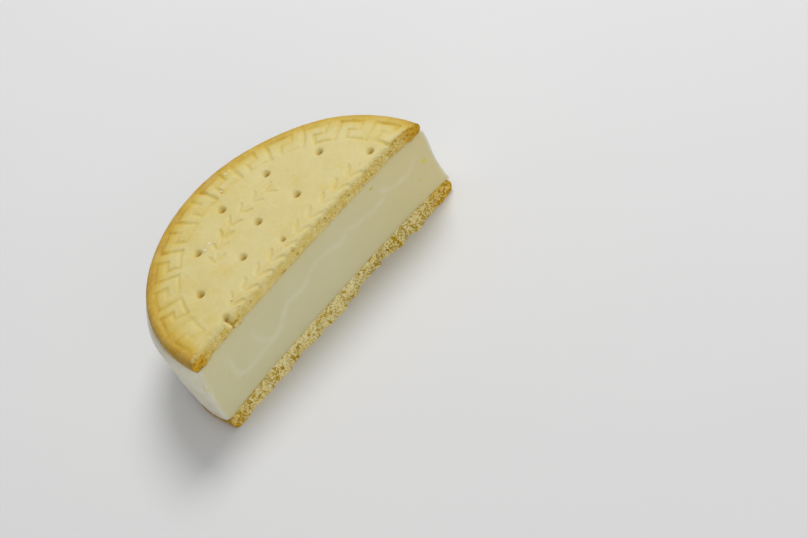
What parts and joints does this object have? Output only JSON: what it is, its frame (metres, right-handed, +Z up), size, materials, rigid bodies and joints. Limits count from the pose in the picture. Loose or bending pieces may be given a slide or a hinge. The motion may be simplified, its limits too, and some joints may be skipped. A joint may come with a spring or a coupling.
{
  "type": "ice cream sandwich half",
  "caption": "Half of a round ice cream sandwich, cut straight across: thick pale ice cream between pressed biscuits with a Greek-key border, lying flat.",
  "frame": {"origin": "bottom centre of the box round the half, on the surface that it lies on", "axes": "+X along the cut, +Y from the cut face to the round side, +Z up through the layers"},
  "size_m": [0.0922, 0.0468, 0.0284],
  "materials": {
    "upper_biscuit": "pale baked biscuit, golden towards the rim",
    "ice_cream": "smooth frozen vanilla ice cream",
    "lower_biscuit": "baked biscuit with a coarse torn crumb"
  },
  "bodies": {
    "root": {"biscuit_bottom": "lower_biscuit", "ice_cream": "ice_cream", "biscuit_top": "upper_biscuit"}
  },
  "joints": []
}
